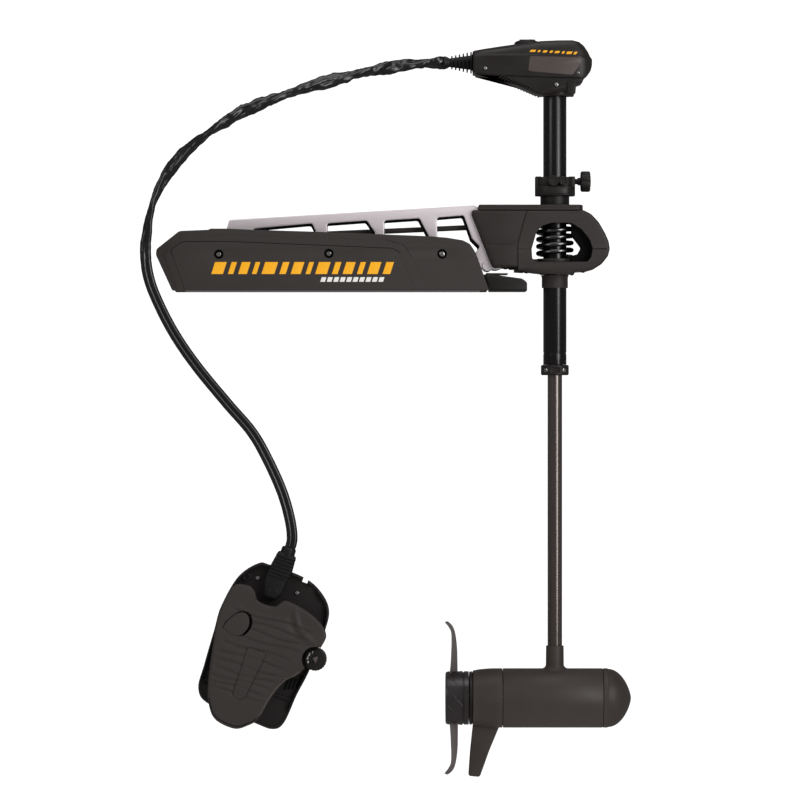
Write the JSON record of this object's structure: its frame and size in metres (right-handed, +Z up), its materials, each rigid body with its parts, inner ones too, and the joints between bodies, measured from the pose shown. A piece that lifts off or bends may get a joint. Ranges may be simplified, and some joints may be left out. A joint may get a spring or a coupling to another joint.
{
  "type": "trolling motor",
  "caption": "Bow-mount electric trolling motor on a folding lattice arm, with a cable-steered head, adjustable shaft, propeller and a foot pedal on its steering cable.",
  "frame": {"origin": "the middle of the deck mount's underside, where it bolts to the boat's bow deck", "axes": "+Z up, +X towards the bow and the motor, +Y to the far side away from the foot pedal; the motor is deployed with its shaft vertical"},
  "size_m": [0.839, 0.2065, 1.268],
  "materials": {
    "channel_alloy": "satin extrusion",
    "textured_plastic": "fine moulded texture, warm dark grey",
    "black_plastic": "semi-matt black",
    "cast_paint": "satin black paint over a casting",
    "motor_paint": "satin brown-black paint",
    "tube_gloss": "glossy black composite",
    "arm_alloy": "satin cast aluminium, faintly warm",
    "steel": "stainless",
    "spring_steel": "gloss black coated spring wire",
    "brass": "machined",
    "windings": "enamelled copper over laminations",
    "magnet": "ferrite",
    "nylon": "natural nylon",
    "rubber": "soft black rubber",
    "prop_plastic": "glossy black with a slight purple cast",
    "cable_sheath": "glossy black twisted sheath"
  },
  "bodies": {
    "mount": {"mount_base": "channel_alloy", "side_plate_near": "textured_plastic", "side_plate_far": "textured_plastic", "motor_ramp": "black_plastic", "rest_bar": "steel", "arm_pivot_pin": "steel", "link_pivot_pin": "steel"},
    "lift_arm": {"lift_arm_near": "arm_alloy", "lift_arm_far": "arm_alloy", "arm_tie_rear": "arm_alloy", "arm_tie_front": "arm_alloy", "knee_pin": "steel"},
    "link": {"support_link": "cast_paint"},
    "bracket": {"bow_bracket": "cast_paint", "guard_hinge_pin": "steel", "spring_seat": "cast_paint", "breakaway_spring": "spring_steel"},
    "guard": {"guard_upper_casting": "cast_paint", "guard_lower_casting": "cast_paint", "guard_top_plate": "cast_paint", "lower_sleeve": "cast_paint", "depth_collar": "cast_paint"},
    "depth_knob": {"depth_knob": "black_plastic"},
    "tube": {"outer_tube": "tube_gloss", "tube_clamp": "black_plastic", "upper_bushing": "nylon", "lower_bushing": "nylon", "head_housing": "textured_plastic", "head_cover": "textured_plastic", "cable_boot": "rubber", "steering_cable": "cable_sheath"},
    "idler": {"idler_gear": "nylon"},
    "indicator": {"indicator_gear": "nylon", "direction_indicator": "black_plastic"},
    "lower_unit": {"inner_shaft": "tube_gloss", "steering_drum": "black_plastic", "drum_gear": "nylon", "shaft_saddle": "motor_paint", "motor_housing": "motor_paint", "tail_housing": "motor_paint", "nose_cone": "motor_paint", "skeg": "motor_paint", "magnet_near": "magnet", "magnet_far": "magnet", "front_bearing": "steel", "rear_bearing": "steel", "shaft_seal": "rubber", "brush_plate": "black_plastic"},
    "rotor": {"armature_shaft": "steel", "armature_core": "windings", "commutator": "brass", "propeller": "prop_plastic", "prop_nut": "steel"},
    "pedal": {"pedal_base": "black_plastic", "rocker_pin": "steel", "cable_clamp": "rubber"},
    "foot_pad": {"foot_pad": "textured_plastic"},
    "button": {"momentary_button": "black_plastic"},
    "speed_knob": {"speed_knob": "black_plastic"}
  },
  "joints": [
    {"name": "stow", "type": "hinge", "parent": "mount", "child": "lift_arm", "pos_m": [-0.16, 0, 0.072], "axis": [0, -1, 0], "range_deg": [0, 145]},
    {"name": "link_swing", "type": "hinge", "parent": "mount", "child": "link", "pos_m": [-0.186, 0, 0.088], "axis": [0, -1, 0], "range_deg": [0, 145]},
    {"name": "knee", "type": "hinge", "parent": "lift_arm", "child": "bracket", "pos_m": [0.282, 0, 0.054], "axis": [0, -1, 0], "range_deg": [-55, 0]},
    {"name": "breakaway", "type": "hinge", "parent": "bracket", "child": "guard", "pos_m": [0.337, 0, 0.039], "axis": [0, 1, 0], "range_deg": [0, 14], "stiffness_Nm_per_rad": 90, "springref_deg": -20.05, "deforming": ["breakaway_spring"]},
    {"name": "depth", "type": "slide", "parent": "guard", "child": "tube", "axis": [0, 0, 1], "range_m": [-0.12, 0.12]},
    {"name": "depth_knob_turn", "type": "hinge", "parent": "guard", "child": "depth_knob", "pos_m": [0.438, 0, 0.189], "axis": [1, 0, 0], "range_deg": [-360, 0]},
    {"name": "steer", "type": "hinge", "parent": "tube", "child": "lower_unit", "pos_m": [0.385, 0, 0], "axis": [0, 0, 1], "range_deg": [-180, 180]},
    {"name": "idler_turn", "type": "hinge", "parent": "tube", "child": "idler", "pos_m": [0.361, 0, 0.397], "axis": [0, 0, 1], "range_deg": [-180, 180]},
    {"name": "indicator_turn", "type": "hinge", "parent": "tube", "child": "indicator", "pos_m": [0.337, 0, 0.397], "axis": [0, 0, 1], "range_deg": [-180, 180]},
    {"name": "propeller_spin", "type": "hinge", "parent": "lower_unit", "child": "rotor", "pos_m": [0.3, 0, -0.699], "axis": [1, 0, 0], "continuous": true},
    {"name": "pedal_swing", "type": "hinge", "parent": "tube", "child": "pedal", "pos_m": [0.2003, 0, 0.3935], "axis": [0, -1, 0], "range_deg": [-90, 0], "deforming": ["steering_cable"]},
    {"name": "pedal_rock", "type": "hinge", "parent": "pedal", "child": "foot_pad", "pos_m": [-0.1155, -0.12, -0.6065], "axis": [0.9455, 0, -0.3256], "range_deg": [-15, 15]},
    {"name": "button_press", "type": "slide", "parent": "foot_pad", "child": "button", "axis": [0, 1, 0], "range_m": [0, 0.004], "stiffness_N_per_m": 400, "springref_m": -0.002},
    {"name": "speed_turn", "type": "hinge", "parent": "pedal", "child": "speed_knob", "pos_m": [-0.0249, -0.1, -0.6261], "axis": [0, -1, 0], "range_deg": [-140, 140]}
  ],
  "couplings": [
    {"joint": "link_swing", "follows": "stow", "ratio": 1},
    {"joint": "knee", "follows": "stow", "ratio": -0.37931},
    {"joint": "pedal_swing", "follows": "stow", "ratio": -0.62068},
    {"joint": "idler_turn", "follows": "steer", "ratio": -1},
    {"joint": "indicator_turn", "follows": "steer", "ratio": 1},
    {"joint": "pedal_rock", "follows": "steer", "ratio": 0.083333}
  ]
}
